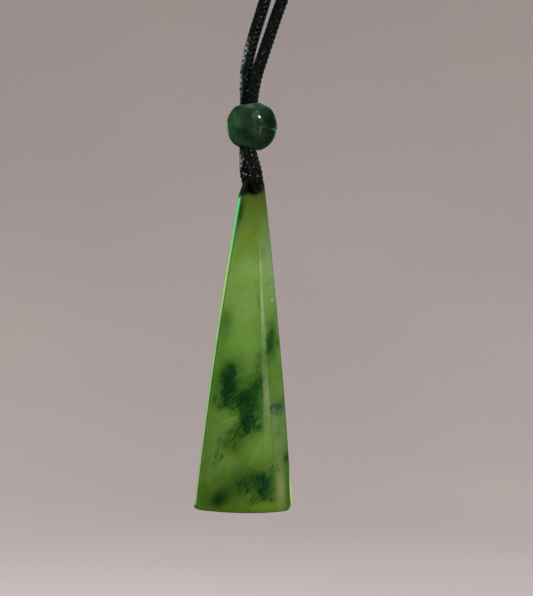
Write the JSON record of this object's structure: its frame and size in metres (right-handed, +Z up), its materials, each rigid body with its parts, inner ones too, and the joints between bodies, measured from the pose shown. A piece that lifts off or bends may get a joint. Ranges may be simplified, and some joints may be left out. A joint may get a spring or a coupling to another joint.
{
  "type": "jade drop pendant necklace",
  "caption": "Long tapered jade drop hung from a braided black neck cord through one round jade bead; worn on the neck or hung by its loop.",
  "frame": {"origin": "where the loop hangs: the inside of the cord's top bend, straight above the drop's hole", "axes": "+Z up, against the pull of the hanging drop; +X to the viewer's right across the drop's face; -Y out of the drop's front face"},
  "size_m": [0.0591, 0.0112, 0.3834],
  "materials": {
    "drop_jade": "polished translucent nephrite with dark inclusions",
    "bead_jade": "polished translucent dark nephrite",
    "waxed_cord": "black braided cord with a waxed sheen"
  },
  "bodies": {
    "necklace": {"neck_cord": "waxed_cord", "jade_bead": "bead_jade", "closing_knot": "waxed_cord"},
    "drop": {"jade_drop": "drop_jade"}
  },
  "joints": [
    {"name": "drop_swing", "type": "hinge", "parent": "necklace", "child": "drop", "pos_m": [0, 0, -0.3311], "axis": [0, 1, 0], "range_deg": [-45, 45]}
  ]
}
